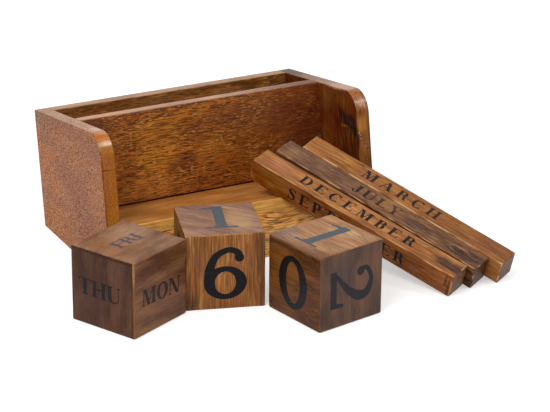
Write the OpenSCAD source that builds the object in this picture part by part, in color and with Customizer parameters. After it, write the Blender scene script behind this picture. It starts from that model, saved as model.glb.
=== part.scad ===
// Perpetual desk calendar in lacquered hardwood: a leaning tray with a slot for cards and
// pens behind its divider, three loose cubes and three loose month bars.
// Origin: middle of the front apron's underside. +X runs along the tray, +Y to its back.

/* [Tray] */
// Length of the tray over both cheeks
tray_w = 192; // [150:1:260]
// Depth of a cheek, along its top edge
cheek_depth = 112; // [104:1:150]
// Height of a cheek, along its back edge
cheek_height = 80; // [60:1:120]
// Thickness of a cheek
cheek_t = 9.5; // [8:0.5:14]
// Radius of a cheek's upper front corner
cheek_corner_r = 15; // [5:1:30]
// Angle by which the tray leans back
lean = 9.5; // [0:0.5:14]

/* [Boards] */
// Thickness of the back panel
back_t = 12; // [8:0.5:16]
// Clear width of the slot behind the divider
slot_w = 36; // [20:1:40]
// Thickness of the divider
divider_t = 12; // [8:0.5:14]
// Shadow gap under the divider
divider_gap = 1; // [0.5:0.5:3]
// Thickness of the floor board
floor_t = 8; // [6:0.5:10]
// Height of the floor board's top above the cheek's rear bottom corner
floor_top = 19; // [16:0.5:26]
// Thickness of the front apron
apron_t = 10; // [8:0.5:14]

/* [Dowels] */
// Diameter of the hidden wooden dowels
dowel_d = 4; // [3:0.5:5]
// Length of a dowel
dowel_len = 22; // [18:1:30]
// Depth of a dowel in the cheek
dowel_in_cheek = 6; // [4:0.5:6.5]
// Depth that each hole has to spare for glue
glue_room = 0.5; // [0.2:0.1:1]

/* [Cubes] */
// Side of a cube
cube_side = 50; // [40:1:52]
// Width of the eased edges on cubes and bars
eased = 0.8; // [0.4:0.1:2]

/* [Month bars] */
// Length of a month bar
bar_len = 158; // [140:1:165]
// Side of a month bar's square section
bar_side = 16.5; // [12:0.5:20]
// Gap between a leaning bar and the floor board's front edge
bar_gap = 0.25; // [0.2:0.05:0.5]

/* [Hidden] */
$fn = 48;

inner_w = tray_w - 2 * cheek_t;
divider_back = back_t + slot_w;
divider_front = divider_back + divider_t;
apron_back = cheek_depth - apron_t;
// Where the table meets the leaning tray: its lowest line, and its front edge on the table
foot_drop = cheek_depth * tan(lean);
foot_front = cheek_depth / cos(lean);
// Moves the tray so that the origin lies mid-way under the apron
origin_y = foot_front - apron_t / cos(lean) / 2;
// Front top edge of the floor board, on which the bars lean, in the part's own frame
floor_edge_y = origin_y - cheek_depth * cos(lean) + floor_top * sin(lean);
floor_edge_z = cheek_depth * sin(lean) + floor_top * cos(lean);

// Loose pieces as they lie: [x, y] of the middle and the turn of a cube
weekday_cube_at = [-103, -48, 26];
date_cube_left_at = [-38, -40.5, -17];
date_cube_right_at = [9, -93, 11.5];
// [x, y] of a bar's near left corner on the table, and its turn from the tray's length
month_bar_left_at = [88, -109, -62.5];
month_bar_middle_at = [107, -104, -62.5];
month_bar_right_at = [126.5, -104.5, -62.5];

// Dowel places on a cheek's inner face: [distance from the back, height], before leaning
back_dowel_places = [for (h = [30, 64]) [back_t / 2, h]];
divider_dowel_places = [for (h = [34, 66]) [divider_back + divider_t / 2, h]];
floor_dowel_places = [for (d = [30, 88]) [d, floor_top - floor_t / 2]];
apron_dowel_places = [for (h = [-10, 3]) [apron_back + apron_t / 2, h]];

// Leans the tray back about its rear bottom edge. Children stand upright, with depth
// measured from the back towards -Y and height along +Z.
module leaned() {
    translate([0, origin_y, 0]) rotate([-lean, 0, 0]) children();
}

// Extrudes an outline drawn as [distance from the back, height] along X, over both
// sides of the middle.
module across(length) {
    rotate([90, 0, -90]) translate([0, 0, -length / 2]) linear_extrude(length) children();
}

// A board of the tray: a straight strip between the cheeks
module board(from_back, to_front, bottom, top) {
    across(inner_w)
        polygon([[from_back, bottom], [to_front, bottom], [to_front, top], [from_back, top]]);
}

// A board that stands on the table: its foot is cut to the table's slant
module standing_board(from_back, to_front, top) {
    across(inner_w)
        polygon([
            [from_back, -from_back * tan(lean)], [to_front, -to_front * tan(lean)],
            [to_front, top], [from_back, top]
        ]);
}

// Round rods on both ends of a board, where its dowels go. The rod starts this deep in
// the cheek and has this length.
module rods(places, deep, length) {
    for (place = places, side = [-1, 1])
        translate([side * (inner_w / 2 + deep - length / 2), -place[0], place[1]])
            rotate([0, 90, 0]) cylinder(d = dowel_d, h = length, center = true);
}

module dowels(places) {
    color("burlywood") leaned() rods(places, dowel_in_cheek, dowel_len);
}

module dowel_holes(places) {
    rods(places, dowel_in_cheek + glue_room, dowel_len + 2 * glue_room);
}

module cheek_outline() {
    difference() {
        polygon([
            [0, 0], [cheek_depth, -foot_drop], [cheek_depth, cheek_height], [0, cheek_height]
        ]);
        translate([cheek_depth - cheek_corner_r, cheek_height - cheek_corner_r])
            difference() {
                square(cheek_corner_r + 1);
                circle(cheek_corner_r);
            }
    }
}

// side is -1 for the left cheek and 1 for the right one
module cheek(side) {
    leaned() difference() {
        translate([side * (tray_w - cheek_t) / 2, 0, 0]) across(cheek_t) cheek_outline();
        dowel_holes(back_dowel_places);
        dowel_holes(divider_dowel_places);
        dowel_holes(floor_dowel_places);
        dowel_holes(apron_dowel_places);
    }
}

module left_cheek() {
    color("rosybrown") cheek(-1);
}

module right_cheek() {
    color("saddlebrown") cheek(1);
}

module back_panel() {
    color("peru") leaned() difference() {
        standing_board(0, back_t, cheek_height);
        dowel_holes(back_dowel_places);
    }
}

module divider() {
    color("sienna") leaned() difference() {
        board(divider_back, divider_front, floor_top + divider_gap, cheek_height);
        dowel_holes(divider_dowel_places);
    }
}

module floor_board() {
    color("chocolate") leaned() difference() {
        board(back_t, cheek_depth, floor_top - floor_t, floor_top);
        dowel_holes(floor_dowel_places);
    }
}

module front_apron() {
    color("goldenrod") leaned() difference() {
        standing_board(apron_back, cheek_depth, floor_top - floor_t);
        dowel_holes(apron_dowel_places);
    }
}

// A square prism along Z with its four long edges eased
module eased_prism(x, y, z) {
    linear_extrude(z)
        polygon([
            [eased, 0], [x - eased, 0], [x, eased], [x, y - eased],
            [x - eased, y], [eased, y], [0, y - eased], [0, eased]
        ]);
}

// A block from the origin to [x, y, z] with all twelve edges eased
module eased_block(x, y, z) {
    intersection() {
        eased_prism(x, y, z);
        translate([0, y, 0]) rotate([90, 0, 0]) eased_prism(x, z, y);
        translate([x, 0, 0]) rotate([0, -90, 0]) eased_prism(z, y, x);
    }
}

// place is [x, y, turn]
module loose_cube(place) {
    translate([place[0], place[1], 0]) rotate(place[2])
        translate([-cube_side / 2, -cube_side / 2, 0])
            eased_block(cube_side, cube_side, cube_side);
}

// A bar leans with its underside along the floor board's front edge and its near left
// corner on the table. place is [x, y, turn].
module leaning_bar(place) {
    slope = atan((floor_edge_z + bar_gap) / (floor_edge_y - place[1]));
    translate([place[0], place[1], 0]) rotate([slope, 0, 0]) rotate(place[2])
        translate([eased - bar_len, -eased, 0]) eased_block(bar_len, bar_side, bar_side);
}

module weekday_cube() {
    color("#5a3a28") loose_cube(weekday_cube_at);
}

module date_cube_left() {
    color("#9a6a38") loose_cube(date_cube_left_at);
}

module date_cube_right() {
    color("#7a5030") loose_cube(date_cube_right_at);
}

module month_bar_left() {
    color("#b07a4a") leaning_bar(month_bar_left_at);
}

module month_bar_middle() {
    color("#5c3f30") leaning_bar(month_bar_middle_at);
}

module month_bar_right() {
    color("#946440") leaning_bar(month_bar_right_at);
}

left_cheek();
right_cheek();
back_panel();
divider();
floor_board();
front_apron();
dowels(back_dowel_places);  // back_dowels
dowels(divider_dowel_places);  // divider_dowels
dowels(floor_dowel_places);  // floor_dowels
dowels(apron_dowel_places);  // apron_dowels
weekday_cube();
date_cube_left();
date_cube_right();
month_bar_left();
month_bar_middle();
month_bar_right();
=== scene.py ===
"""Looks of the perpetual desk calendar: lacquered hardwood with printed words and digits.

Every piece is built in its own frame, in which X, Y and Z follow the board, cube or bar, and
its mesh is then moved to where its CAD node lies. The materials go back to the own frame, so
the tables below say where things are on a piece, in millimetres from its middle.
"""

import math
from types import SimpleNamespace

import bmesh
import bpy
from mathutils import Matrix, Vector, noise
from mathutils.geometry import delaunay_2d_cdt


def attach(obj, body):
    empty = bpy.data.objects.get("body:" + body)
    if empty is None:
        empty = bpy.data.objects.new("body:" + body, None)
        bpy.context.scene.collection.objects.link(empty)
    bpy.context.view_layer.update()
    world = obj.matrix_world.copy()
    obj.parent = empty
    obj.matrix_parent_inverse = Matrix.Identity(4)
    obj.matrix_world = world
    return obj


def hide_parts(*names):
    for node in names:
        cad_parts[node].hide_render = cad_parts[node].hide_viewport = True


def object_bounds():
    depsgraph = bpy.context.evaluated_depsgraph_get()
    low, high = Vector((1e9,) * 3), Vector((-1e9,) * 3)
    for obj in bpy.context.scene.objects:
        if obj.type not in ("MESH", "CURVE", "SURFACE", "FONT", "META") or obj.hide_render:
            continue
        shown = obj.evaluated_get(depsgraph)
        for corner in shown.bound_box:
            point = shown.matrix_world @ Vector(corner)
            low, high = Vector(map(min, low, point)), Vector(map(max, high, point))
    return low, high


MM = 0.001
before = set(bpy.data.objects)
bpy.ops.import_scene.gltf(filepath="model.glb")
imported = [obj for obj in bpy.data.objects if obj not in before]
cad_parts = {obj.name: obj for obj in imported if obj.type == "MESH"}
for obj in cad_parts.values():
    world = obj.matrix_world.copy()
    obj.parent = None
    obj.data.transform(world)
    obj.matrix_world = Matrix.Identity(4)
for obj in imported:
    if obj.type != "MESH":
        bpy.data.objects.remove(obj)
cad_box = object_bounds()

# Camera, in the part's frame: where it looks, from where, and how much of the lens is used
CAMERA_TARGET = (-6.0, 48.5, 40.0)
CAMERA_AZIMUTH = -25.53
CAMERA_ELEVATION = 21.60
CAMERA_ROLL = -0.25
CAMERA_DISTANCE = 1522.0
CAMERA_LENS = 150.6
CAMERA_SENSOR = 36.0
CAMERA_SHIFT = (0.1298, -0.0505)

EDGE_STEPS = 3
RIM_ANGLE = 20.0  # sides of a board that meet at more than this have their edge rounded
RIM_AREA = 5.0  # least area of such a side
FLAT_ANGLE = 0.5  # sides of a board that meet at less than this are one side
BOARD_SMOOTH = 35.0  # edges of a board up to this angle are shaded smoothly
BLOCK_SMOOTH = 60.0
BLOCK_GRID = 2.0  # spacing of a block's vertices
BLOCK_WEAR = 0.15  # most that wear takes off a block's edge
WEAR_REACH = 1.5  # how far wear goes from an edge, in radii of its rounding
WEAR_SIZE = 7.0  # size of the worn places

SPECULAR = 0.13  # the lacquer is thin, and reflects less than glass would
COAT = 0.9  # where a surface is polished
COAT_ROUGH = 0.2
RELIEF = 0.15 * MM  # height of the full relief
BUMP = 0.3  # how strongly it shows

INK = "#0c0b10"
INK_SINK = 0.02  # a print reaches this far into the wood
INK_RISE = 0.035

WHITE = (1.0, 1.0, 1.0)
WORLD_LIGHT = 0.55
FLOOR_REACH = 40.0
FLOOR_COLOUR = (0.8, 0.8, 0.8)
FLOOR_ROUGH = 0.9
FLOOR_LIFT = 0.45  # makes the lit floor as white as the background

# Square lamps: azimuth, elevation, side and power. Their lengths are metres.
LAMPS = {
    "key": (-60.0, 48.0, 0.9, 14.0),
    "window": (44.0, 55.0, 0.3, 3.4),
}
LAMP_TARGET = (0.0, 0.0, 0.04)
LAMP_DISTANCE = 1.6


# ---- frames of the CAD nodes


def flat_directions(node):
    """Normals of the node's flat sides, those with the most area first."""
    sums = {}
    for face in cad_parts[node].data.polygons:
        key = tuple(round(c, 2) for c in face.normal)
        sums[key] = sums.get(key, Vector()) + face.normal * face.area
    ordered = sorted(sums.values(), key=lambda total: -total.length)
    return [total.normalized() for total in ordered]


def own_frame(node, along):
    """The node's own frame: X nearest to along, Z nearest to up, origin in the middle."""
    sides = flat_directions(node)[:6]
    x = max(sides, key=lambda side: side.dot(along))
    z = max(sides, key=lambda side: side.z)
    axes = Matrix((x, z.cross(x), z))
    places = [axes @ v.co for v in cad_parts[node].data.vertices]
    low = Vector([min(p[i] for p in places) for i in range(3)])
    high = Vector([max(p[i] for p in places) for i in range(3)])
    turn = axes.transposed()
    matrix = Matrix.Translation(turn @ ((low + high) / 2)) @ turn.to_4x4()
    return SimpleNamespace(node=node, matrix=matrix, half=(high - low) / 2 / MM)


# ---- material nodes

# Sockets of a Mix node for each kind of data: its two inputs and its output
MIX_SOCKETS = {"RGBA": (6, 7, 2), "VECTOR": (4, 5, 1)}


def linear(code):
    """Linear colour of an sRGB code such as #a06030."""
    parts = [int(code[i : i + 2], 16) / 255 for i in (1, 3, 5)]
    return tuple(c / 12.92 if c <= 0.04045 else ((c + 0.055) / 1.055) ** 2.4 for c in parts)


class NodeTree:
    """Short calls for building the nodes of a material or of the world."""

    def __init__(self, owner, root="Principled BSDF"):
        owner.use_nodes = True
        self.tree = owner.node_tree
        self.root = self.tree.nodes[root]

    def feed(self, node, inputs):
        """Links or sets a node's inputs. Colours are linear, without alpha."""
        for key, value in dict(inputs).items():
            socket = node.inputs[key]
            if isinstance(value, bpy.types.NodeSocket):
                self.tree.links.new(value, socket)
            elif isinstance(value, tuple) and socket.type == "RGBA":
                socket.default_value = (*value, 1.0)
            else:
                socket.default_value = value

    def node(self, kind, inputs=(), **settings):
        made = self.tree.nodes.new("ShaderNode" + kind)
        for key, value in settings.items():
            setattr(made, key, value)
        self.feed(made, inputs)
        return made

    def maths(self, operation, *values):
        return self.node("Math", enumerate(values), operation=operation).outputs[0]

    def times(self, product, *factors):
        for factor in factors:
            product = self.maths("MULTIPLY", product, factor)
        return product

    def vector(self, operation, *values):
        made = self.node("VectorMath", enumerate(values), operation=operation)
        return made.outputs["Value" if operation == "LENGTH" else "Vector"]

    def split(self, vector):
        return self.node("SeparateXYZ", {0: vector}).outputs

    def join(self, x, y, z):
        return self.node("CombineXYZ", {0: x, 1: y, 2: z}).outputs[0]

    def step(self, value, low, high, out_low=0.0, out_high=1.0):
        """Smooth step of value from low to high."""
        inputs = {"Value": value, 1: low, 2: high, 3: out_low, 4: out_high}
        return self.node("MapRange", inputs, interpolation_type="SMOOTHSTEP").outputs[0]

    def noise(self, vector, detail, roughness=0.5):
        inputs = {"Vector": vector, "Scale": 1.0, "Detail": detail, "Roughness": roughness}
        return self.node("TexNoise", inputs).outputs

    def mix(self, factor, a, b, kind="RGBA"):
        """a where factor is 0, and b where it is 1."""
        first, second, out = MIX_SOCKETS[kind]
        inputs = {0: factor, first: a, second: b}
        return self.node("Mix", inputs, data_type=kind, clamp_factor=True).outputs[out]


# ---- wood

# Place of each noise in the noise field, counted from the style's seed
FIBRES, BLOTCHES, TINTING, RAGGED = 0.0, 5.0, 11.0, 17.0
PORES, LINES, RUBBING, GLINTS = 23.0, 31.0, 41.0, 53.0
SEED_WAY = (1.0, 0.7, 1.3)  # direction in which the seeds lie

# Length and width of the noises that have one size in every wood
STRAY_SIZE = (45.0, 16.0)
TINT_SIZE = (26.0, 12.0)
RUBBED_SIZE = (13.0, 7.0)
RAGGED_SIZE = (9.0, 2.5)

# Levels of a noise at which a feature begins, and at which it is full
BLOTCH_RANGE = (0.35, 0.65)
TINT_RANGE = (0.42, 0.66)
DULL_RANGE = (0.3, 0.6)
FADE_RANGE = (0.42, 0.7)
FIBRE_RANGE = (0.34, 0.66)
LINE_RANGE = (0.38, 0.62)
FLECK_RANGE = (0.6, 1.0)
RUBBED_RANGE = (0.44, 0.62)
SOFTNESS = 0.08  # from one to the other, where the style sets the first

DULLED = 0.3  # share of their glints that tinted areas keep
RIM_STRAY = 0.8  # how far a patch's rim strays, in shares of its reach
PATCH_RANGE = (1.3, 0.3)  # shares of its reach at which a patch begins and is full
EDGE_FULL = 0.2  # distance from an edge within which it is rubbed most
BLOTCH_ROUGH = 0.3  # how much rougher the light areas are than the dark ones
STREAK_RELIEF = 0.4  # height of lines and of fibres, as a share of the full relief


def look(**changes):
    """A wood's look. Colours are sRGB, lengths millimetres."""
    plain = SimpleNamespace(
        dark="#6a4020",
        light="#96622e",
        grain="X",  # axis that the fibres follow
        ends=None,  # axis that the figure follows on the end faces, where it isn't speckled
        ends_turn=0.0,  # degrees by which it leaves that axis
        blotch=(40.0, 16.0),  # length and width of the soft light and dark areas
        wander=1.5,  # how far the grain strays
        tint=("#6e3a2a", 0.2),  # second tone, in areas of its own, and its amount
        edge=0.7,  # radius of the rounded edges
        faces=(),  # (side, dark, light, strength of the figure) where a face differs; the paler +Z tops are partly a painted sheen
        patches=(),  # (x, y, z, x reach, y reach, z reach, colour, amount) of listed areas
        figure=1.0,  # strength of the figure
        calm=(),  # (middle, reach, share of the figure that is lost) of calmer areas
        fibre=(18.0, 1.8, 0.14),  # length, width and amount of the soft streaks
        line=(7.0, 0.8, 0.15),  # the same of the crisp lines
        glint=(8.0, 0.7),  # length and width of a bright line: partly pale fibres, partly a painted sheen of fibres and pores
        glint_level=0.58,
        glint_amount=0.0,
        glint_colour="#d8a050",
        pore=(3.0, 0.6),
        pore_level=0.64,
        pore_depth=0.4,
        pore_colour="#1d0f08",
        worn="#c49a6a",  # colour of the rubbed edges
        worn_width=0.9,
        worn_amount=0.0,
        rough=0.4,
        polish=None,  # (middle, reach) of a polished area of the rim
        ink_flecks=0.1,
        ink_fade=0.05,
        inks=(),  # (side, colour) where the print isn't black: paler on +Z tops as a painted sheen
        seed=0.0,
    )
    return SimpleNamespace(**{**vars(plain), **changes})


def face_depth(style):
    """Depth at which a face's colours end, half-way round its edges."""
    return 0.3 * style.edge + 0.05


def on_face(tree, style, place, half, side):
    """1 on the face on this side, such as -X, and 0 elsewhere."""
    axis = "XYZ".index(side[1])
    outwards = tree.times(tree.split(place)[axis], float(side[0] + "1"))
    return tree.maths("GREATER_THAN", outwards, half[axis] - face_depth(style))


def stretched(tree, vector, size, seed):
    """vector divided by a length along the fibres and a width across them."""
    along, across = size
    scaled = tree.vector("MULTIPLY", vector, (1 / along, 1 / across, 1 / across))
    return tree.vector("ADD", scaled, tuple(seed * way for way in SEED_WAY))


def own_place(tree, own):
    """Place in the piece's own frame, in millimetres from its middle."""
    inputs = {
        "Vector": tree.node("TexCoord").outputs["Object"],
        "Location": own.matrix.translation,
        "Rotation": own.matrix.to_euler(),
        "Scale": (MM, MM, MM),
    }
    return tree.node("Mapping", inputs, vector_type="TEXTURE").outputs[0]


def along_grain(tree, style, place, half):
    """The place with X along the fibres, which stray a little."""
    x, y, z = tree.split(place)
    turned = {"X": (x, y, z), "Y": (y, z, x), "Z": (z, x, y)}
    along = turned[style.grain]
    grain = tree.join(*along)
    if style.ends:
        reach = half["XYZ".index(style.grain)] - face_depth(style)
        at_end = tree.maths("GREATER_THAN", tree.maths("ABSOLUTE", along[0]), reach)
        across = tree.join(*turned[style.ends])
        inputs = {"Vector": across, "Angle": math.radians(style.ends_turn)}
        other = tree.node("VectorRotate", inputs, rotation_type="Z_AXIS").outputs[0]
        grain = tree.mix(at_end, grain, other, "VECTOR")
    stray = tree.noise(stretched(tree, grain, STRAY_SIZE, style.seed), 0.5)["Color"]
    stray = tree.vector("SUBTRACT", stray, (0.5, 0.5, 0.5))
    flow = tree.vector("MULTIPLY", stray, (0.0, 2 * style.wander, 2 * style.wander))
    return tree.vector("ADD", grain, flow)


def wood_noises(tree, style, grain):
    """The noises of a wood. All but the first two are cut to their ranges."""

    def streaks(size, seed, detail=1.0):
        return tree.noise(stretched(tree, grain, size, style.seed + seed), detail)[0]

    def spots(value, level):
        return tree.step(value, level, level + SOFTNESS)

    return SimpleNamespace(
        blotches=streaks(style.blotch, BLOTCHES, 3.0),
        tinting=streaks(TINT_SIZE, TINTING, 2.0),
        fibres=tree.step(streaks(style.fibre[:2], FIBRES), *FIBRE_RANGE),
        lines=tree.step(streaks(style.line[:2], LINES, 0.0), *LINE_RANGE),
        glints=spots(streaks(style.glint, GLINTS, 0.0), style.glint_level),
        pores=spots(streaks(style.pore, PORES), style.pore_level),
        rubbing=tree.step(streaks(RUBBED_SIZE, RUBBING), *RUBBED_RANGE),
    )


def patch_mask(tree, place, ragged, middle, reach):
    """1 inside an egg round the middle and 0 outside, with a ragged rim."""
    offset = tree.vector("SUBTRACT", place, tuple(map(float, middle)))
    scaled = tree.vector("MULTIPLY", offset, tuple(1 / r for r in reach))
    distance = tree.maths("ADD", tree.vector("LENGTH", scaled), ragged)
    return tree.step(distance, *PATCH_RANGE)


def base_colour(tree, style, place, grain, noises, facing):
    """The wood's colour before its figure: two tones, a tint, and listed patches."""
    dark, light = linear(style.dark), linear(style.light)
    for mask, (_, face_dark, face_light, _) in zip(facing, style.faces):
        dark = tree.mix(mask, dark, linear(face_dark))
        light = tree.mix(mask, light, linear(face_light))
    colour = tree.mix(tree.step(noises.blotches, *BLOTCH_RANGE), dark, light)
    tint, amount = style.tint
    tinted = tree.step(noises.tinting, *TINT_RANGE, 0.0, amount)
    colour = tree.mix(tinted, colour, linear(tint))
    ragged = stretched(tree, grain, RAGGED_SIZE, style.seed + RAGGED)
    ragged = tree.noise(ragged, 3.0, 0.6)[0]
    ragged = tree.maths("MULTIPLY_ADD", ragged, 2 * RIM_STRAY, -RIM_STRAY)
    for *area, patch_colour, amount in style.patches:
        mask = patch_mask(tree, place, ragged, area[:3], area[3:])
        colour = tree.mix(tree.times(mask, amount), colour, linear(patch_colour))
    return colour


def figure_strength(tree, style, place, facing):
    """Strength of the figure: the face's own, and less in the calm areas."""
    strength = style.figure
    for mask, face in zip(facing, style.faces):
        strength = tree.maths("MULTIPLY_ADD", mask, face[3] - style.figure, strength)
    for middle, reach, loss in style.calm:
        mask = patch_mask(tree, place, 0.0, middle, reach)
        strength = tree.times(tree.maths("MULTIPLY_ADD", mask, -loss, 1.0), strength)
    return strength


def figured(tree, style, colour, noises, strength):
    """The colour with soft streaks, crisp lines and bright lines, the last partly a painted sheen.
    """
    fibre_amount, line_amount = style.fibre[2], style.line[2]
    figure = tree.times(noises.lines, 2 * line_amount)
    figure = tree.maths("MULTIPLY_ADD", noises.fibres, 2 * fibre_amount, figure)
    figure = tree.maths("SUBTRACT", figure, line_amount + fibre_amount)
    level = tree.maths("MULTIPLY_ADD", figure, strength, 1.0)
    inputs = {"Vector": colour, "Scale": level}
    streaked = tree.node("VectorMath", inputs, operation="SCALE").outputs[0]
    kept = tree.step(noises.tinting, *DULL_RANGE, 1.0, DULLED)
    glinting = tree.times(noises.glints, kept, style.glint_amount, strength)
    return tree.mix(glinting, streaked, linear(style.glint_colour))


def edge_nearness(tree, place, half, width):
    """1 on a block's edges, falling to 0 at width from them."""
    gap = tree.vector("SUBTRACT", tuple(half), tree.vector("ABSOLUTE", place))
    a, b, c = tree.split(gap)
    low = tree.maths("MINIMUM", a, b)
    high = tree.maths("MAXIMUM", a, b)
    second = tree.maths("MAXIMUM", low, tree.maths("MINIMUM", high, c))
    return tree.step(second, width, EDGE_FULL)


def inked(tree, style, colour, noises, place, half):
    """A print over the wood, which shows through its flecks and where it has faded."""
    flecks = tree.times(tree.step(noises.lines, *FLECK_RANGE), style.ink_flecks)
    fade = style.ink_fade
    fading = tree.step(noises.tinting, *FADE_RANGE, 0.5 * fade, 1.5 * fade)
    print_colour = linear(INK)
    # each side's own print colour; on +Z tops a paler grey stands for painted sheen
    for side, code in style.inks:
        on_side = on_face(tree, style, place, half, side)
        print_colour = tree.mix(on_side, print_colour, linear(code))
    return tree.mix(tree.maths("MAXIMUM", flecks, fading), print_colour, colour)


def polished(tree, style, place, half):
    """Weight of the coat on the polished area of the rim, but not on the sides next to it."""
    off_sides = tree.maths("ABSOLUTE", tree.split(place)["X"])
    on_rim = tree.maths("LESS_THAN", off_sides, half[0] - face_depth(style))
    return tree.times(patch_mask(tree, place, 0.0, *style.polish), on_rim, COAT)


def relief(tree, noises, strength, pits):
    """Normal of the streaks and pores."""
    height = tree.times(noises.fibres, STREAK_RELIEF)
    height = tree.maths("MULTIPLY_ADD", noises.lines, STREAK_RELIEF, height)
    height = tree.maths("SUBTRACT", tree.times(height, strength), pits)
    inputs = {"Strength": BUMP, "Distance": RELIEF, "Height": height}
    return tree.node("Bump", inputs).outputs[0]


def wood(name, style, own, ink=False):
    """Lacquered wood of a piece. With ink, the same wood under a worn print."""
    material = bpy.data.materials.new(name)
    tree = NodeTree(material)
    half = own.half
    place = own_place(tree, own)
    grain = along_grain(tree, style, place, half)
    noises = wood_noises(tree, style, grain)
    facing = [on_face(tree, style, place, half, face[0]) for face in style.faces]
    strength = figure_strength(tree, style, place, facing)
    pits = tree.times(noises.pores, style.pore_depth, strength)

    colour = base_colour(tree, style, place, grain, noises, facing)
    colour = figured(tree, style, colour, noises, strength)
    colour = tree.mix(pits, colour, linear(style.pore_colour))
    near_edge = edge_nearness(tree, place, half, style.worn_width)
    rubbed = tree.times(near_edge, noises.rubbing, style.worn_amount)
    colour = tree.mix(rubbed, colour, linear(style.worn))
    if ink:
        colour = inked(tree, style, colour, noises, place, half)

    least = style.rough - BLOTCH_ROUGH / 2
    roughness = tree.maths("MULTIPLY_ADD", noises.blotches, BLOTCH_ROUGH, least)
    surface = {
        "Base Color": colour,
        "Roughness": tree.maths("ADD", roughness, pits),
        "Specular IOR Level": SPECULAR,
        "Normal": relief(tree, noises, strength, pits),
    }
    if style.polish:
        surface["Coat Weight"] = polished(tree, style, place, half)
        surface["Coat Roughness"] = COAT_ROUGH
    tree.feed(tree.root, surface)
    return material


# ---- meshes


def linked(name, data):
    """A new object in the scene."""
    made = bpy.data.objects.new(name, data)
    bpy.context.scene.collection.objects.link(made)
    return made


def add_piece(name, mesh, matrix, body, material):
    """Moves a mesh to its place, and links it as a piece that rides on its body."""
    mesh.transform(matrix)
    mesh.materials.append(material)
    piece = linked(name, mesh)
    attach(piece, body)
    return piece


def smooth_shaded(mesh, angle):
    """Shades a mesh smoothly, but not over edges sharper than angle."""
    mesh.polygons.foreach_set("use_smooth", [True] * len(mesh.polygons))
    mesh.set_sharp_from_angle(angle=math.radians(angle))


def rims(bm):
    """Edges on which two sizeable flat sides meet at an angle."""
    return [
        edge
        for edge in bm.edges
        if len(edge.link_faces) == 2
        and edge.calc_face_angle(0.0) > math.radians(RIM_ANGLE)
        and min(face.calc_area() for face in edge.link_faces) > RIM_AREA * MM * MM
    ]


def eased_board(place, edge, all_round):
    """The board's CAD shape with its edges rounded: all of them, or those along X."""
    bm = bmesh.new()
    bm.from_mesh(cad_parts[place.node].data)
    bmesh.ops.transform(bm, matrix=place.matrix.inverted(), verts=bm.verts)
    bmesh.ops.remove_doubles(bm, verts=bm.verts, dist=0.001 * MM)
    flat = math.radians(FLAT_ANGLE)
    bmesh.ops.dissolve_limit(bm, angle_limit=flat, verts=bm.verts, edges=bm.edges)
    edges = rims(bm)
    if not all_round:
        edges = [e for e in edges if abs((e.verts[0].co - e.verts[1].co).normalized().x) > 0.99]
    bmesh.ops.bevel(
        bm, geom=edges, offset=edge * MM, segments=EDGE_STEPS, profile=0.5, affect="EDGES"
    )
    mesh = bpy.data.meshes.new(place.node)
    bm.to_mesh(mesh)
    bm.free()
    smooth_shaded(mesh, BOARD_SMOOTH)
    return mesh


def marks(half, radius):
    """Places of a block's grid lines along one axis: close in the rounded rims."""
    flat = half - radius
    steps = max(2, round(2 * flat / BLOCK_GRID))
    inside = [-flat + 2 * flat * i / steps for i in range(steps + 1)]
    rim = [flat + radius * (i + 1) / EDGE_STEPS for i in range(EDGE_STEPS)]
    return [-m for m in reversed(rim)] + inside + rim


def core_point(point, half, radius):
    """The point on a box's core, radius inside its sides, that is nearest to point."""
    return Vector([max(-h + radius, min(h - radius, c)) for c, h in zip(point, half)])


def rounded(point, half, radius):
    """A point on a box moved onto the box with rounded edges."""
    core = core_point(point, half, radius)
    out = point - core
    return core + out.normalized() * radius if out.length > 0 else point


def add_side(bm, half, edge, axis, side):
    """One side of a rounded block, as a grid across an axis. side is -1 or 1."""
    u_axis, v_axis = (axis + 1) % 3, (axis + 2) % 3
    grid = []
    for u in marks(half[u_axis], edge):
        row = []
        for v in marks(half[v_axis], edge):
            point = Vector((0, 0, 0))
            point[axis], point[u_axis], point[v_axis] = side * half[axis], u, v
            row.append(bm.verts.new(rounded(point, half, edge)))
        grid.append(row)
    for this, following in zip(grid, grid[1:]):
        for j in range(len(this) - 1):
            corners = [this[j], following[j], following[j + 1], this[j + 1]]
            bm.faces.new(corners if side > 0 else corners[::-1])


def worn_block(place, edge, seed):
    """A cube or bar with rounded edges that handling has worn unevenly."""
    half = place.half
    bm = bmesh.new()
    for axis in range(3):
        for side in (-1, 1):
            add_side(bm, half, edge, axis, side)
    bmesh.ops.remove_doubles(bm, verts=bm.verts, dist=0.01)
    for vertex in bm.verts:
        wear_vertex(vertex, half, edge, seed)
    bmesh.ops.scale(bm, vec=(MM, MM, MM), verts=bm.verts)
    mesh = bpy.data.meshes.new(place.node)
    bm.to_mesh(mesh)
    bm.free()
    smooth_shaded(mesh, BLOCK_SMOOTH)
    return mesh


def wear_vertex(vertex, half, edge, seed):
    """Moves a vertex near an edge inwards, more in some places than in others."""
    gaps = sorted(h - abs(c) for c, h in zip(vertex.co, half))
    nearness = max(0.0, 1 - gaps[1] / (WEAR_REACH * edge))
    where = vertex.co / WEAR_SIZE + Vector((seed, 2 * seed, -seed))
    depth = BLOCK_WEAR * nearness * (0.5 + 0.5 * noise.noise(where))
    inward = core_point(vertex.co, half, edge) - vertex.co
    vertex.co += inward.normalized() * depth


# ---- glyphs
# A glyph is its width and its strokes, which are convex outlines, in units of its height.
# Outlines may overlap: their union is printed.

STEM = 0.25
HAIR = 0.07
SERIF = 0.055
BRACKET = 0.07
OVERHANG = 0.1
OVERLAP = 0.01
BEAK_TIP = 0.02
BEAK_ROOT = 0.13
ARC_STEP = 12.0
UNION_EPSILON = 1e-5


def bar(x0, y0, x1, y1):
    return [[(x0, y0), (x1, y0), (x1, y1), (x0, y1)]]


def slant(x0, y0, x1, y1, width):
    """A diagonal stroke whose ends are level and this wide, from its left sides."""
    return [[(x0, y0), (x0 + width, y0), (x1 + width, y1), (x1, y1)]]


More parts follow.
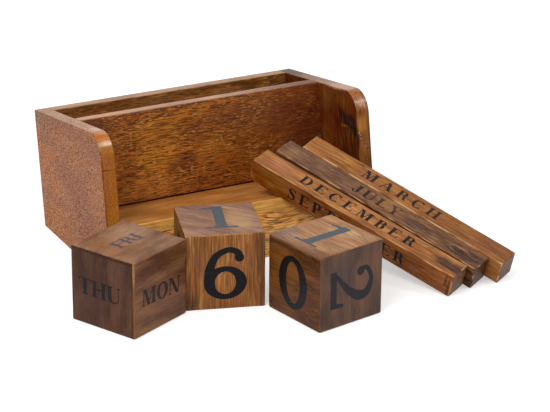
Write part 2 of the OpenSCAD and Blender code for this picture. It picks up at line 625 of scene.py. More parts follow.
def feet(x0, x1, y, up, overhang=OVERHANG):
    """A bracketed serif under (up 1) or over (up -1) a stroke from x0 to x1."""
    inner = y + up * SERIF
    outer = inner + up * BRACKET
    bracket = [(x0 - BRACKET, inner), (x1 + BRACKET, inner), (x1, outer), (x0, outer)]
    return bar(x0 - overhang, y, x1 + overhang, inner) + [bracket]


def stem(x, width=STEM, y0=0.0, y1=1.0, overhang=OVERHANG, ends="tb"):
    """An upright with serifs at its top, its bottom or both."""
    made = bar(x, y0, x + width, y1)
    if "b" in ends:
        made += feet(x, x + width, y0, 1, overhang)
    if "t" in ends:
        made += feet(x, x + width, y1, -1, overhang)
    return made


def ring(cx, cy, rx, ry, thick, thin, start=0.0, stop=360.0):
    """Part of an oval stroke, thick at its sides and thin at its top and bottom."""
    steps = max(2, round(abs(stop - start) / ARC_STEP))
    made = []
    for i in range(steps):
        a, b = (math.radians(start + (stop - start) * k / steps) for k in (i, i + 1))
        made.append([
            (cx + (rx - thick) * math.cos(a), cy + (ry - thin) * math.sin(a)),
            (cx + rx * math.cos(a), cy + ry * math.sin(a)),
            (cx + rx * math.cos(b), cy + ry * math.sin(b)),
            (cx + (rx - thick) * math.cos(b), cy + (ry - thin) * math.sin(b)),
        ])
    return made


def ball(cx, cy, radius):
    steps = round(360 / ARC_STEP) // 2
    turns = [2 * math.pi * i / steps for i in range(steps)]
    return [[(cx + radius * math.cos(t), cy + radius * math.sin(t)) for t in turns]]


def curve_point(before, a, b, after, t):
    """Catmull-Rom point of (x, y, width) values."""
    return [
        0.5 * (2 * q + (r - p) * t + (2 * p - 5 * q + 4 * r - s) * t * t
               + (3 * q - p - 3 * r + s) * t ** 3)
        for p, q, r, s in zip(before, a, b, after)
    ]


def brush(*points, steps=5):
    """A stroke along a smooth line of (x, y, width) points."""
    padded = [points[0], *points, points[-1]]
    line = [
        curve_point(*padded[i : i + 4], k / steps)
        for i in range(len(points) - 1)
        for k in range(steps)
    ]
    line.append(list(points[-1]))
    sides = []
    for i, (x, y, width) in enumerate(line):
        ahead, behind = line[min(i + 1, len(line) - 1)], line[max(i - 1, 0)]
        dx, dy = ahead[0] - behind[0], ahead[1] - behind[1]
        size = math.hypot(dx, dy)
        nx, ny = -dy / size * width / 2, dx / size * width / 2
        sides.append(((x + nx, y + ny), (x - nx, y - ny)))
    return [[a[0], a[1], b[1], b[0]] for a, b in zip(sides, sides[1:])]


def beak(x, y, way, up, size):
    """The wedge at the end of a hairline arm that reaches x, on the arm's side way."""
    tip, root = x - way * BEAK_TIP, x - way * BEAK_ROOT
    return [[(x, y), (x, y + up * size), (tip, y + up * size), (root, y)]]


def arm(x0, x1, y, up, size):
    """A hairline arm to the right, from its outer side y inwards, with its beak."""
    return bar(x0, y, x1, y + up * HAIR) + beak(x1, y, 1, up, size)


def lobe(x, y0, y1, reach):
    """A bowl to the right of x between two heights."""
    middle, half = (y0 + y1) / 2, (y1 - y0) / 2
    flat = reach - half if reach > half else 0.0
    top = bar(x, y1 - HAIR, x + flat + OVERLAP, y1)
    bottom = bar(x, y0, x + flat + OVERLAP, y0 + HAIR)
    return top + bottom + ring(x + flat, middle, reach - flat, half, STEM, HAIR, -90, 90)


POST = stem(0.1, overhang=0.09)  # a letter's first upright

GLYPHS = {
    "A": (
        1.08,
        slant(0.42, 1, 0.72, 0, STEM + 0.02) + slant(0.44, 1, 0.08, 0, HAIR + 0.01)
        + bar(0.2, 0.3, 0.75, 0.3 + HAIR) + feet(0.08, 0.16, 0, 1, 0.09)
        + feet(0.72, 0.99, 0, 1, 0.07),
    ),
    "B": (0.84, POST + lobe(0.3, 0.5, 1, 0.46) + lobe(0.3, 0, 0.5 + HAIR, 0.52)),
    "C": (
        0.92,
        ring(0.48, 0.5, 0.48, 0.52, STEM, HAIR, 42, 318) + bar(0.8, 0.66, 0.85, 1)
        + beak(0.85, 0.97, 1, -1, 0.3),
    ),
    "D": (0.98, POST + lobe(0.3, 0, 1, 0.66)),
    "E": (
        0.88,
        POST + bar(0.3, 0.48, 0.6, 0.48 + HAIR) + bar(0.57, 0.38, 0.61, 0.65)
        + arm(0.3, 0.82, 1, -1, 0.27) + arm(0.3, 0.86, 0, 1, 0.29),
    ),
    "F": (
        0.84,
        POST + bar(0.3, 0.46, 0.6, 0.46 + HAIR) + bar(0.57, 0.36, 0.61, 0.63)
        + arm(0.3, 0.82, 1, -1, 0.29),
    ),
    "G": (
        1.02,
        ring(0.48, 0.5, 0.48, 0.52, STEM, HAIR, 42, 330) + stem(0.68, STEM, 0, 0.42, 0.09, "t")
        + bar(0.8, 0.68, 0.85, 1) + beak(0.85, 0.97, 1, -1, 0.28),
    ),
    "H": (1.1, POST + stem(0.75, overhang=0.09) + bar(0.3, 0.47, 0.8, 0.54)),
    "I": (0.45, stem(0.1)),
    "J": (
        0.66,
        stem(0.33, STEM, 0.22, 1, 0.09, "t") + ring(0.3, 0.22, 0.28, 0.26, 0.15, HAIR, -170, 0)
        + ball(0.11, 0.2, 0.1),
    ),
    "L": (0.86, POST + arm(0.3, 0.84, 0, 1, 0.32)),
    "M": (
        1.26,
        stem(0.12, HAIR) + slant(0.12, 1, 0.5, 0, STEM) + slant(0.54, 0, 0.9, 1, HAIR)
        + stem(0.9, overhang=0.09),
    ),
    "N": (1.04, stem(0.12, HAIR) + stem(0.86, HAIR, ends="t") + slant(0.1, 1, 0.68, 0, STEM)),
    "O": (0.98, ring(0.49, 0.5, 0.49, 0.52, STEM + 0.01, HAIR)),
    "P": (0.82, POST + lobe(0.3, 0.44, 1, 0.5)),
    "R": (
        1.0,
        POST + lobe(0.3, 0.46, 1, 0.5)
        + brush(
            (0.55, 0.48, 0.1), (0.68, 0.36, 0.2), (0.74, 0.15, 0.22), (0.9, 0.02, 0.06),
            (1, 0.08, 0.04),
        ),
    ),
    "S": (
        0.76,
        brush(
            (0.62, 0.9, 0.08), (0.36, 0.985, 0.07), (0.14, 0.8, 0.15), (0.27, 0.6, 0.22),
            (0.5, 0.44, 0.24), (0.63, 0.2, 0.15), (0.38, 0.015, 0.07), (0.1, 0.12, 0.08),
        ) + bar(0.63, 0.68, 0.68, 1) + bar(0.05, 0, 0.1, 0.34) + beak(0.68, 0.95, 1, -1, 0.26)
        + beak(0.05, 0.05, -1, 1, 0.28),
    ),
    "T": (
        0.92,
        stem(0.335, ends="b") + bar(0, 1 - HAIR, 0.92, 1) + beak(0.92, 1, 1, -1, 0.28)
        + beak(0, 1, -1, -1, 0.28),
    ),
    "U": (
        1.02,
        stem(0.1, STEM, 0.3, 1, 0.09, "t") + stem(0.83, HAIR, 0.3, ends="t")
        + ring(0.5, 0.3, 0.4, 0.32, STEM, HAIR + 0.01, 180, 300)
        + ring(0.5, 0.3, 0.4, 0.32, HAIR, HAIR + 0.01, 300, 360),
    ),
    "V": (
        1.0,
        slant(0.08, 1, 0.42, 0, STEM) + slant(0.46, 0, 0.82, 1, HAIR)
        + feet(0.08, 0.33, 1, -1, 0.08) + feet(0.82, 0.89, 1, -1, 0.09),
    ),
    "W": (
        1.42,
        slant(0.08, 1, 0.38, 0, STEM) + slant(0.6, 1, 0.9, 0, STEM) + slant(0.42, 0, 0.72, 1, HAIR)
        + slant(0.94, 0, 1.26, 1, HAIR) + feet(0.08, 0.33, 1, -1, 0.08)
        + feet(1.26, 1.33, 1, -1, 0.09),
    ),
    "Y": (
        0.97,
        stem(0.37, STEM, 0, 0.46, ends="b") + slant(0.06, 1, 0.37, 0.42, STEM)
        + slant(0.5, 0.42, 0.8, 1, HAIR) + feet(0.06, 0.31, 1, -1, 0.07)
        + feet(0.8, 0.87, 1, -1, 0.09),
    ),
    "0": (0.77, ring(0.385, 0.5, 0.385, 0.5, 0.2, 0.105)),
    "1": (
        0.58,
        bar(0.195, 0, 0.385, 1) + bar(0, 0, 0.58, 0.06)
        + [
            [(0.15, 0.06), (0.43, 0.06), (0.385, 0.12), (0.195, 0.12)],
            [(-0.03, 0.875), (-0.01, 0.93), (0.14, 0.965), (0.26, 1), (0.26, 0.87), (0.1, 0.875)],
        ],
    ),
    "2": (
        0.76,
        brush(
            (0.13, 0.7, 0.1), (0.12, 0.84, 0.09), (0.34, 0.95, 0.095), (0.58, 0.86, 0.16),
            (0.62, 0.68, 0.19), (0.5, 0.47, 0.15), (0.3, 0.28, 0.1), (0.1, 0.12, 0.07), steps=6,
        ) + ball(0.15, 0.7, 0.088) + bar(0.03, 0, 0.74, 0.14)
        + [[(0.64, 0.1), (0.74, 0), (0.755, 0.3), (0.69, 0.3)]],
    ),
    "3": (
        0.74,
        brush(
            (0.16, 0.76, 0.1), (0.16, 0.87, 0.08), (0.36, 0.955, 0.08), (0.55, 0.86, 0.16),
            (0.56, 0.68, 0.17), (0.4, 0.54, 0.08), (0.24, 0.53, 0.06), steps=6,
        )
        + brush(
            (0.26, 0.53, 0.06), (0.46, 0.51, 0.09), (0.62, 0.38, 0.19), (0.6, 0.17, 0.19),
            (0.36, 0.045, 0.08), (0.15, 0.12, 0.08), (0.13, 0.24, 0.1), steps=6,
        ) + ball(0.16, 0.75, 0.085) + ball(0.13, 0.24, 0.09),
    ),
    "4": (
        0.8,
        stem(0.42, 0.2, 0, 1, 0.09, "b") + slant(0.42, 1, 0.02, 0.3, 0.09)
        + bar(0.02, 0.24, 0.78, 0.33),
    ),
    "5": (
        0.74,
        brush(
            (0.13, 0.52, 0.06), (0.32, 0.61, 0.08), (0.56, 0.53, 0.18), (0.62, 0.3, 0.2),
            (0.52, 0.1, 0.15), (0.3, 0.045, 0.08), (0.14, 0.13, 0.08), (0.13, 0.24, 0.1), steps=6,
        ) + bar(0.11, 0.5, 0.17, 1) + [[(0.11, 0.86), (0.6, 0.84), (0.68, 1), (0.11, 1)]]
        + ball(0.14, 0.24, 0.09),
    ),
    "6": (
        0.77,
        brush(
            (0.63, 0.8, 0.15), (0.6, 0.89, 0.12), (0.44, 0.945, 0.105), (0.215, 0.83, 0.13),
            (0.105, 0.57, 0.17), (0.1, 0.3, 0.2), steps=6,
        ) + ring(0.385, 0.318, 0.385, 0.318, 0.195, 0.1) + ball(0.635, 0.79, 0.085),
    ),
    "7": (
        0.74,
        bar(0.04, 0.84, 0.72, 1) + [[(0.04, 0.7), (0.1, 0.7), (0.14, 0.86), (0.04, 0.86)]]
        + brush((0.68, 0.9, 0.06), (0.48, 0.6, 0.1), (0.36, 0.3, 0.17), (0.33, 0, 0.22)),
    ),
    "8": (
        0.76,
        ring(0.38, 0.74, 0.31, 0.26, 0.14, 0.07) + ring(0.38, 0.28, 0.38, 0.28, 0.18, 0.08),
    ),
}


def laid_out(text, tracking):
    """Outlines of a word, centred on the origin, in units of its height."""
    outlines, at = [], 0.0
    for letter in text:
        width, glyph = GLYPHS[letter]
        outlines += [[(x + at, y - 0.5) for x, y in outline] for outline in glyph]
        at += width + tracking
    shift = (at - tracking) / 2
    return [[(x - shift, y) for x, y in outline] for outline in outlines]


def union_triangles(outlines):
    """Points and triangles of the outlines' union."""
    points, faces = [], []
    for outline in outlines:
        area = sum(a[0] * b[1] - b[0] * a[1] for a, b in zip(outline, outline[1:] + outline[:1]))
        ordered = outline if area > 0 else outline[::-1]
        faces.append(list(range(len(points), len(points) + len(ordered))))
        points += [Vector(p) for p in ordered]
    merged, _, triangles, _, _, sources = delaunay_2d_cdt(points, [], faces, 0, UNION_EPSILON)
    return merged, [face for face, source in zip(triangles, sources) if source]


SIDES = {
    "+X": Vector((1, 0, 0)), "-X": Vector((-1, 0, 0)),
    "+Y": Vector((0, 1, 0)), "-Y": Vector((0, -1, 0)),
    "+Z": Vector((0, 0, 1)), "-Z": Vector((0, 0, -1)),
}


def print_word(bm, half, side, up, text, size, tracking=0.0, shift=(0.0, 0.0), tilt=0.0):
    """Adds a word to bm as a thin plate on a block's side, size high, up along up."""
    normal, up = SIDES[side], SIDES[up]
    right = up.cross(normal)
    middle = normal * abs(half.dot(normal)) + right * shift[0] + up * shift[1]
    spin = Matrix.Rotation(math.radians(tilt), 3, normal)
    points, faces = union_triangles(laid_out(text, tracking))
    flat = [middle + spin @ (right * p.x + up * p.y) * size for p in points]
    low = [bm.verts.new((p - normal * INK_SINK) * MM) for p in flat]
    high = [bm.verts.new((p + normal * INK_RISE) * MM) for p in flat]
    used = {}
    for face in faces:
        bm.faces.new([high[i] for i in face])
        bm.faces.new([low[i] for i in reversed(face)])
        for a, b in zip(face, face[1:] + face[:1]):
            used[a, b] = True
    for a, b in used:
        if (b, a) not in used:
            bm.faces.new([low[a], low[b], high[b], high[a]])
    loose = [v for v in low + high if not v.link_faces]
    bmesh.ops.delete(bm, geom=loose, context="VERTS")


def printed(place, words):
    bm = bmesh.new()
    for word in words:
        print_word(bm, place.half, *word)
    mesh = bpy.data.meshes.new(place.node + "_print")
    bm.to_mesh(mesh)
    bm.free()
    return mesh


# ---- the pieces

ALONG_TRAY = Vector((1, 0, 0))
TO_NEAR_END = Vector((0.4, -1, 0))

# Pale marks on the right cheek's front: x, z, reach in x and z, amount
STRAND_MARKS = (
    (-3.5, 22, 0.6, 0.6, 0.6), (-2.5, 20.4, 0.5, 0.5, 0.6), (-2.8, 18.2, 0.5, 0.6, 0.6),
    (-1.4, 18, 0.6, 0.5, 0.5), (-1.3, 15.6, 0.5, 0.6, 0.6), (0.1, 15.3, 0.6, 0.5, 0.5),
    (0.4, 12.8, 0.5, 0.6, 0.6), (1.8, 12.2, 0.5, 0.5, 0.5), (2.2, 9.6, 0.5, 0.6, 0.6),
)

BOARDS = {}
BLOCKS = {}

BOARDS["left_cheek"] = look(
    grain="Y", ends="Z", dark="#9c6020", light="#b0742e", figure=0.3, blotch=(60, 26),
    tint=("#98583c", 0.3), fibre=(5, 2.2, 0.06), line=(1.7, 0.75, 0.4), pore=(1.6, 0.7),
    # the pale speckle of glints here is partly a painted sheen off the pores
    pore_level=0.56, pore_depth=0.5, glint=(1.6, 0.7), glint_level=0.57, glint_amount=0.5,
    glint_colour="#d0a084", pore_colour="#562404", seed=3.1,
    faces=(
        ("-X", "#824819", "#a2622d", 1), ("+X", "#6c3a16", "#8a5426", 0.6),
        # the +Z top's pale tones are partly a painted sheen
        ("+Z", "#a67c5c", "#be967a", 0.5), ("-Y", "#9e5a0c", "#b06c18", 0.35),
    ),
    patches=(
        (-4.75, 50, 0, 2, 4, 60, "#a65c38", 0.6),
        (-4.75, 20, -44, 2, 40, 4, "#9c562c", 0.6),
        (-4.75, 52, 47, 2, 10, 2.5, "#6a5440", 0.7),
        # the pale top carried round the rounded corner, partly a painted sheen
        (1.2, -36, 49.4, 4.6, 10, 2, "#d4b098", 0.8),
        (1.2, -45, 48.5, 4.6, 4, 2.5, "#c48a5c", 0.8),
        (1.2, -50.5, 46, 4.6, 2.5, 2, "#bc7430", 0.8),
        (-1.5, -48.8, 47, 4, 2.2, 1.4, "#be541a", 0.9),
        # painted highlight: the window lamp's gloss on the rounded corner, laid on as a pale band
        (1.2, -53, 43.3, 4.8, 1.8, 2, "#e0b48c", 0.7),
        (-4.75, -56, 0, 0.9, 1, 90, "#74380e", 0.9),
        (-1.5, -56, 26.5, 5, 2, 0.35, "#3a1c08", 0.9),
        (-1, -56, 3.5, 6, 2, 0.3, "#6a3c14", 0.7),
    ),
    polish=((0, -52.6, 43.6), (12, 3.8, 3.8)),
)
BOARDS["right_cheek"] = look(
    grain="Z", dark="#7c461a", light="#9c6028", fibre=(16, 2.6, 0.1), line=(9, 0.9, 0.12),
    tint=("#4a1206", 0.2), glint_amount=0.15, seed=8.4,
    faces=(
        ("-X", "#481a08", "#6c300c", 1), ("+X", "#6c3a16", "#8a5426", 1),
        # the +Z top's pale tones are partly a painted sheen
        ("+Z", "#8c6244", "#ac8066", 0.5), ("-Y", "#784010", "#985a22", 0.8),
    ),
    patches=(
        (-4.75, -17, 42, 2, 12, 12, "#6e3e14", 0.8),
        (-4.75, -38, 42, 2, 12, 6, "#643208", 0.8),
        (-4.75, -11, 18, 2, 5, 16, "#6c3a10", 0.7),
        (-4.75, -27, 31, 2, 6, 6, "#641c08", 0.6),
        (-4.75, -29, 18, 2, 8, 8, "#5e2608", 0.6),
        (-4.75, -35, 31.5, 2, 5, 4, "#280c0c", 0.9),
        (-4.75, -42, 29, 2, 7, 5.5, "#1e0a12", 0.95),
        (-4.75, -49, 27.5, 2, 7, 7, "#1c0a10", 0.95),
        (-4.75, -52, 22.5, 2, 6, 6, "#0e0806", 1),
        (-4.75, -57, 18, 2, 4, 5, "#1c0e0c", 0.8),
        (-4.75, -38, 24.5, 2, 6, 1.2, "#84501c", 0.7),
        (-4.75, -50, 12, 2, 8, 8, "#3e1004", 0.9),
        (-4.75, -40, 2, 2, 10, 8, "#481606", 0.7),
        (1.4, -48, 47.5, 4.6, 3, 2, "#a0602c", 0.7),
        # painted reflection: a pale pink band on the rounded corner
        (1.4, -53, 41, 4.6, 3.5, 4, "#c8967c", 0.7),
        (-1, -56, 27, 4, 2, 8, "#b87c34", 0.7),
        (-2.6, -56, 20, 1.6, 2, 3, "#54301c", 0.8),
        (-0.4, -56, 15.5, 1.6, 2, 3, "#54301c", 0.8),
        (2.2, -56, 11, 1.6, 2, 3.2, "#54301c", 0.8),
        *[(x, -56, z, rx, 2, rz, "#bc9878", amount) for x, z, rx, rz, amount in STRAND_MARKS],
        (4.75, -56, 0, 1.8, 2, 60, "#44240e", 0.9),
        (4.75, -50, 42, 1.8, 9, 10, "#44240e", 0.9),
        (4, -56, -8, 3, 2, 14, "#4a2a18", 0.8),
        (0, 44, 49.4, 8, 20, 2, "#46240c", 1),
        (0, -30, 49.4, 8, 18, 2, "#cca086", 0.8),
    ),
    polish=((0, -53, 42), (12, 6, 6)),
)
BOARDS["back_panel"] = look(
    dark="#704018", light="#8e5a30", fibre=(22, 1.6, 0.12), line=(7, 0.7, 0.3), blotch=(34, 9),
    tint=("#5e3016", 0.3), pore_level=0.63, glint=(5, 0.7), glint_amount=0.3, seed=12.7,
    # the +Z top's pale tones are partly a painted sheen
    faces=(("+Z", "#a47a58", "#b88c6a", 0.5),),
)
BOARDS["divider"] = look(
    dark="#72390e", light="#8a4a12", fibre=(24, 1.4, 0.05), line=(8.5, 0.4, 0.55), blotch=(34, 10),
    tint=("#642a10", 0.4), pore=(2.4, 0.5), pore_level=0.58, pore_depth=0.3, pore_colour="#3a1606",
    glint=(3, 0.5), glint_amount=0.7, glint_colour="#d89a4c", wander=0.8, seed=17.2,
    # the +Z top's pale tones are partly a painted sheen
    faces=(("+Z", "#c08c62", "#d4a278", 0.25),),
    # the second calm area is part of the painted shadow of the left cheek, where the figure fades
    calm=(((72, -6, 0), (50, 4, 60), 0.6), ((-84, -6, 24), (20, 4, 16), 0.7)),
    patches=(
        (-32, -6, 15, 22, 2, 14, "#ac6a18", 0.5),
        (-36, -6, -4, 15, 2, 12, "#b87420", 0.6),
        (-46, -6, -23, 32, 2, 10, "#b06c2c", 0.7),
        (-70, -6, 0, 18, 2, 30, "#94541c", 0.6),
        (2, -6, 25, 40, 2, 9, "#985414", 0.5),
        (4, -6, -2, 16, 2, 12, "#a8681c", 0.4),
        (-14, -6, -10, 9, 2, 9, "#5e2a10", 0.25),
        (34, -6, 18, 26, 2, 14, "#64341e", 0.6),
        # painted shadow: the left cheek's shade on the divider's left end
        (-82, -6, 24, 20, 2, 13, "#582a14", 0.85),
        (80, -6, 0, 34, 2, 45, "#5c2410", 0.8),
        (34, 0, 30, 24, 8, 2, "#a47858", 0.8),
        (80, 0, 30, 40, 8, 2, "#6c4024", 1),
        # painted shade: the front strip of the top coloured like the shaded front face, so the lit
        # top looks narrower
        (0, -6.6, 30, 400, 3.8, 2, "#70381a", 0.9),
    ),
)
BOARDS["floor_board"] = look(
    dark="#a2642a", light="#be8044", fibre=(34, 2.2, 0.12), line=(14, 0.9, 0.12), glint_amount=0.2,
    tint=("#b87440", 0.2), seed=21.9,
    patches=(
        (0, -50, 0, 130, 3, 8, "#e4aa54", 0.9),
    ),
)
BOARDS["front_apron"] = look(
    dark="#e49c4a", light="#fccc84", fibre=(12, 1.6, 0.16), line=(10, 0.7, 0.36), wander=5,
    pore=(16, 0.55), pore_level=0.59, pore_depth=0.8, seed=26.3,
)

BLOCKS["weekday_cube"] = look(
    ends="Z", dark="#5e3820", light="#84583c", fibre=(20, 2.4, 0.14), line=(10, 0.8, 0.15),
    blotch=(24, 9), tint=("#5a3830", 0.4), glint_amount=0.06, worn="#a07850", worn_amount=0.35,
    # the paler +Z print is a painted sheen
    ink_flecks=0.12, ink_fade=0.12, inks=(("+Z", "#484252"),), edge=1.2, seed=31.5,
    faces=(
        ("-X", "#3c2012", "#563422", 0.5), ("-Y", "#5e3820", "#84583c", 0.65),
        # the +Z top's pale tones are partly a painted sheen
        ("+Z", "#744a2e", "#9a7252", 0.5),
    ),
    patches=(
        (-25, 8, -4, 2, 7, 30, "#3a2218", 0.6),
        (-25, -12, 8, 2, 6, 24, "#5c3a26", 0.5),
        (-10, -25, 17, 18, 2, 7, "#4a2a14", 0.6),
        (16, -25, 14, 9, 2, 7, "#7c5420", 0.35),
        (6, -25, -6, 22, 2, 10, "#7e5238", 0.6),
        (-16, 6, 25, 12, 20, 2, "#8a5a34", 0.6),
        (10, 12, 25, 20, 14, 2, "#ac8466", 0.6),
        (-12, -16, 25, 12, 8, 2, "#74482c", 0.6),
        (-25, 0, 24, 0.8, 70, 1.6, "#2e140a", 0.85),
        (-24.6, -24.6, 0, 0.9, 0.9, 60, "#7c5430", 0.6),
        (-24.6, -24.6, 18, 0.9, 0.9, 9, "#b08450", 0.7),
        (-25, -23.4, 0, 1.2, 0.5, 60, "#2c160c", 0.7),
    ),
)
BLOCKS["date_cube_left"] = look(
    grain="Z", ends="X", ends_turn=35, dark="#7c4a1e", light="#9a6030", fibre=(30, 2, 0.1),
    line=(24, 0.6, 0.22), blotch=(30, 7), tint=("#7a4a34", 0.5), pore_depth=0.2, glint=(16, 0.8),
    glint_level=0.56, glint_amount=0.4, glint_colour="#d0a060", worn="#cc9c6c", worn_amount=0.5,
    # the paler +Z print is a painted sheen
    ink_flecks=0, ink_fade=0, inks=(("+Z", "#4c5258"),), seed=37.8,
    faces=(
        # the +Z top's pale tones are partly a painted sheen
        ("-X", "#502a10", "#6a3c18", 0.6), ("+Z", "#825e4c", "#a47a62", 0.8),
    ),
    patches=(
        (24, -25, 4, 6, 2, 30, "#643c20", 0.7),
        (-22, -25, -20, 5, 2, 8, "#4a3424", 0.7),
        (10, -25, 10, 8, 2, 14, "#925a38", 0.5),
        (-10, 14, 25, 16, 9, 2, "#7a5e54", 0.7),
        (12, -2, 25, 10, 22, 2, "#bc946c", 0.6),
    ),
)
BLOCKS["date_cube_right"] = look(
    grain="Y", ends="Z", dark="#986a48", light="#b88c64", fibre=(20, 2, 0.14),
    line=(16, 0.8, 0.12), blotch=(30, 9), tint=("#8c5a40", 0.3), glint_amount=0.1, ink_flecks=0,
    # print colours by side: the paler +Z print is a painted sheen, the -Y print a greyer ink
    ink_fade=0.02, inks=(("+Z", "#4c5258"), ("-Y", "#242226")), worn_amount=0.3, edge=1.5,
    seed=41.2,
    faces=(
        ("-X", "#462206", "#643810", 0.8), ("-Y", "#4c3930", "#684a3c", 0.35),
        # the +Z top's pale tones are partly a painted sheen
        ("+Z", "#8e6446", "#b4845a", 1),
    ),
    patches=(
        (-25, 10, 4, 2, 16, 18, "#744818", 0.6),
        (-25, -14, -14, 2, 14, 18, "#502818", 0.7),
        (-25, 0, 22, 2, 40, 2.5, "#3c200c", 0.7),
        (-8, -25, 12, 9, 2, 16, "#4c403e", 0.6),
        (10, -25, -4, 10, 2, 20, "#6e4c40", 0.5),
        (-18, 16, 25, 10, 10, 2, "#806a60", 0.7),
        (12, -4, 25, 10, 14, 2, "#c8a070", 0.6),
        (-24.5, 0, 25, 4, 60, 2, "#7c543a", 0.6),
        (-21, -21, 25, 9, 9, 2, "#744a30", 0.8),
    ),
)
BLOCKS["month_bar_left"] = look(
    dark="#8a5226", light="#ae7440", fibre=(24, 2, 0.14), line=(14, 0.8, 0.14), blotch=(24, 5),
    tint=("#9c6238", 0.4), glint=(12, 0.7), glint_amount=0.3, glint_colour="#e4b478",
    worn="#d0a068", worn_amount=0.75, ink_flecks=0.04, ink_fade=0, seed=46.6,
    faces=(
        ("-Y", "#6a3200", "#824208", 1), ("+X", "#220a00", "#522400", 1.2),
    ),
    patches=(
        (72, 0, 8.25, 16, 6, 2, "#3c2020", 0.9),
        (77, -8.25, -3, 1, 2, 12, "#3a1c04", 0.8),
        (74.5, -8.25, 4, 1, 2, 6, "#3a1c04", 0.8),
        (48, 2, 8.25, 12, 6, 2, "#90521c", 0.6),
        (-20, 3, 8.25, 16, 4, 2, "#9c5e30", 0.6),
        (-64, 0, 8.25, 10, 7, 2, "#b87458", 0.35),
        (-62, -8.25, 0, 12, 2, 6, "#8e5c14", 0.6),
        (44, -8.25, 2, 12, 2, 6, "#5c3004", 0.6),
    ),
)
BLOCKS["month_bar_middle"] = look(
    dark="#603a22", light="#845836", fibre=(18, 2, 0.14), line=(10, 0.8, 0.18), blotch=(20, 5),
    tint=("#54362c", 0.6), glint=(10, 0.7), glint_amount=0.3, glint_colour="#d0a070",
    worn="#d0a474", worn_amount=0.75, ink_fade=0.15, seed=52.1,
    faces=(
        # painted shade: the -Y side, facing the left bar, is darkened as it would be in the shade
        # between the bars
        ("-Y", "#42220a", "#603614", 1), ("+X", "#281200", "#4c2a08", 1.2),
    ),
    patches=(
        (-50, 0, 8.25, 40, 12, 2, "#6e5040", 0.6),
        (6, 4, 8.25, 22, 8, 2, "#966a40", 0.6),
        (30, -2, 8.25, 14, 5, 2, "#44302c", 0.7),
        (66, -1, 8.25, 18, 6, 2, "#34201c", 0.9),
        (-70, 0, 8.25, 6, 7, 2, "#8c6444", 0.6),
    ),
)
BLOCKS["month_bar_right"] = look(
    dark="#865024", light="#a46a34", fibre=(24, 2, 0.14), line=(14, 0.8, 0.14), blotch=(24, 6),
    tint=("#80502e", 0.5), glint=(12, 0.7), glint_amount=0.3, glint_colour="#e0b070",
    worn="#dcb084", worn_width=1, worn_amount=0.85, seed=57.4,
    faces=(("+X", "#3c1a00", "#663608", 1.2),),
    patches=(
        (40, 0, 8.25, 30, 12, 2, "#865228", 0.5),
        (62, 0, 8.25, 12, 8, 2, "#7c4630", 0.6),
        (-58, 2, 8.25, 14, 6, 2, "#a87444", 0.6),
        (-30, -3, 8.25, 12, 4, 2, "#78462a", 0.6),
    ),
)
MONTH = 8.4
WEEKDAY = 10.8
DIGIT = 35.0
SMALL_WEEKDAY = 10
SMALL_DIGIT = 34.0
# Side, way up, text, height, spacing, shift to the right and up, and turn
WORDS = {
    "weekday_cube": (
        ("-X", "+Z", "THU", WEEKDAY, 0.02, (-2.2, 0.4)),
        ("-Y", "+Z", "MON", WEEKDAY, 0.04, (0.6, -1.2), -3),
        ("+Z", "+Y", "FRI", SMALL_WEEKDAY, 0, (0, 1.5)),
        ("+X", "+Z", "TUE", WEEKDAY, 0.14),
        ("+Y", "+Z", "WED", WEEKDAY, 0.12),
        ("-Z", "+Y", "SAT", WEEKDAY, 0.14, (0, 9)),
        ("-Z", "+Y", "SUN", WEEKDAY, 0.14, (0, -9)),
    ),
    "date_cube_left": (
        ("-Y", "+Z", "6", DIGIT, 0, (0, -1)),
        ("+Z", "+Y", "1", DIGIT, 0, (0.5, 3.2), -2.5),
        ("-X", "+Z", "0", DIGIT),
        ("+X", "+Z", "7", DIGIT),
        ("+Y", "+Z", "8", DIGIT),
        ("-Z", "+Y", "2", DIGIT),
    ),
    "date_cube_right": (
        ("-X", "+Z", "0", DIGIT, 0, (-0.8, 0), 2),
        ("-Y", "+X", "2", SMALL_DIGIT, 0, (-0.7, 0.3)),
        ("+Z", "+X", "1", DIGIT, 0, (0.2, 0.2)),
        ("+X", "+Z", "3", DIGIT),
        ("+Y", "+Z", "4", DIGIT),
        ("-Z", "+Y", "5", DIGIT),
    ),
    "month_bar_left": (
        ("+Z", "+Y", "DECEMBER", MONTH, 0.43, (-0.7, 0.5)),
        ("-Y", "+Z", "SEPTEMBER", MONTH, 0.34, (-2.5, -0.4)),
        ("-Z", "-Y", "OCTOBER", MONTH, 0.55),
        ("+Y", "-Z", "NOVEMBER", MONTH, 0.55),
    ),
    "month_bar_middle": (
        ("+Z", "+Y", "JULY", MONTH, 0.28, (-3.4, 0.5)),
        ("-Y", "+Z", "MAY", MONTH, 0.55),
        ("-Z", "-Y", "JUNE", MONTH, 0.55),
        ("+Y", "-Z", "AUGUST", MONTH, 0.55),
    ),
    "month_bar_right": (
        ("+Z", "+Y", "MARCH", MONTH, 0.44, (-4.9, 0.3)),
        ("-Y", "+Z", "FEBRUARY", MONTH, 0.55),
        ("-Z", "-Y", "JANUARY", MONTH, 0.55),
        ("+Y", "-Z", "APRIL", MONTH, 0.55),
    ),
}


def build_boards():
    for node, style in BOARDS.items():
        place = own_frame(node, ALONG_TRAY)
        mesh = eased_board(place, style.edge, all_round=node.endswith("cheek"))
        material = wood(node + "_wood", style, place)
        piece = add_piece(node + "_wood", mesh, place.matrix, "tray", material)
        weighted = piece.modifiers.new("flat_sides", "WEIGHTED_NORMAL")
        weighted.keep_sharp = True
        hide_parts(node)


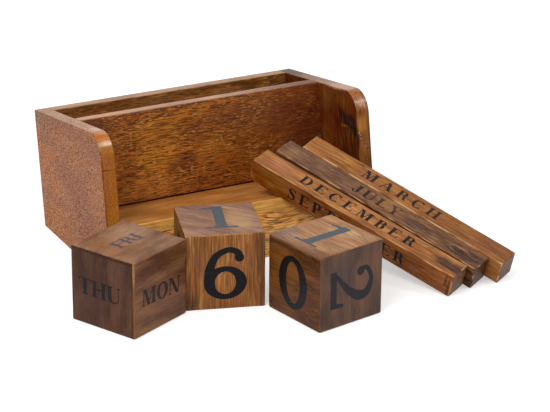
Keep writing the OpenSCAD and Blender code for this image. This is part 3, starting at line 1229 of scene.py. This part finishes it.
def build_blocks():
    for node, style in BLOCKS.items():
        along = TO_NEAR_END if node.startswith("month") else ALONG_TRAY
        place = own_frame(node, along)
        material = wood(node + "_wood", style, place)
        mesh = worn_block(place, style.edge, style.seed)
        piece = add_piece(node + "_wood", mesh, place.matrix, node, material)
        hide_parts(node)
        ink = wood(node + "_ink", style, place, ink=True)
        add_piece(node + "_print", printed(place, WORDS[node]), place.matrix, node, ink)


def finish_dowels():
    """The hidden dowels keep their CAD shapes, in plain beech."""
    beech = look(dark="#b08a5a", light="#d8b888", fibre=(10, 0.4, 0.14), rough=0.6)
    whole = SimpleNamespace(matrix=Matrix.Identity(4), half=Vector(cad_box[1]) / MM)
    material = wood("dowel_wood", beech, whole)
    for node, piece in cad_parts.items():
        if node.endswith("_dowels"):
            piece.data.materials.clear()
            piece.data.materials.append(material)


# ---- stage


def look_at(place, target, roll=0.0):
    """Matrix of a camera or lamp at place that looks at target."""
    turn = (Vector(target) - Vector(place)).to_track_quat("-Z", "Y").to_matrix().to_4x4()
    return Matrix.Translation(place) @ turn @ Matrix.Rotation(math.radians(roll), 4, "Z")


def towards(azimuth, elevation):
    """Direction from the object to something seen at this azimuth and elevation."""
    a, e = math.radians(azimuth), math.radians(elevation)
    return Vector((math.sin(a) * math.cos(e), -math.cos(a) * math.cos(e), math.sin(e)))


def add_camera():
    data = bpy.data.cameras.new("camera")
    data.lens, data.sensor_width = CAMERA_LENS, CAMERA_SENSOR
    data.shift_x, data.shift_y = CAMERA_SHIFT
    camera = linked("camera", data)
    target = Vector(CAMERA_TARGET) * MM
    place = target + towards(CAMERA_AZIMUTH, CAMERA_ELEVATION) * CAMERA_DISTANCE * MM
    camera.matrix_world = look_at(place, target, CAMERA_ROLL)
    bpy.context.scene.camera = camera


def add_lamps():
    for name, (azimuth, elevation, side, power) in LAMPS.items():
        data = bpy.data.lights.new(name, "AREA")
        data.shape = "RECTANGLE"
        data.size, data.size_y = side, side
        data.energy = power
        target = Vector(LAMP_TARGET)
        place = target + towards(azimuth, elevation) * LAMP_DISTANCE
        linked(name, data).matrix_world = look_at(place, target)


def looked_at(tree):
    """1 for what the camera or a gloss sees, and 0 for light."""
    path = tree.node("LightPath").outputs
    return tree.maths("MAXIMUM", path["Is Camera Ray"], path["Is Glossy Ray"])


def add_world():
    """White where a camera or a gloss looks, dimmer as a light."""
    world = bpy.data.worlds.new("studio")
    bpy.context.scene.world = world
    tree = NodeTree(world, "Background")
    inputs = {"Value": looked_at(tree), "To Min": WORLD_LIGHT, "To Max": 1.0}
    level = tree.node("MapRange", inputs).outputs[0]
    tree.feed(tree.root, {"Color": WHITE, "Strength": level})


def add_floor():
    """A white floor that keeps the object's soft shadow."""
    mesh = bpy.data.meshes.new("floor")
    reach = FLOOR_REACH
    corners = [(-reach, -reach, 0), (reach, -reach, 0), (reach, reach, 0), (-reach, reach, 0)]
    mesh.from_pydata(corners, [], [(0, 1, 2, 3)])
    material = bpy.data.materials.new("floor")
    tree = NodeTree(material)
    tree.feed(tree.root, {
        "Base Color": FLOOR_COLOUR,
        "Roughness": FLOOR_ROUGH,
        "Specular IOR Level": 0.0,
        "Emission Color": WHITE,
        "Emission Strength": tree.times(looked_at(tree), FLOOR_LIFT),
    })
    mesh.materials.append(material)
    floor = linked("floor", mesh)


build_boards()
build_blocks()
finish_dowels()
add_camera()
add_world()
add_floor()
add_lamps()
bpy.context.scene.view_settings.view_transform = "Standard"
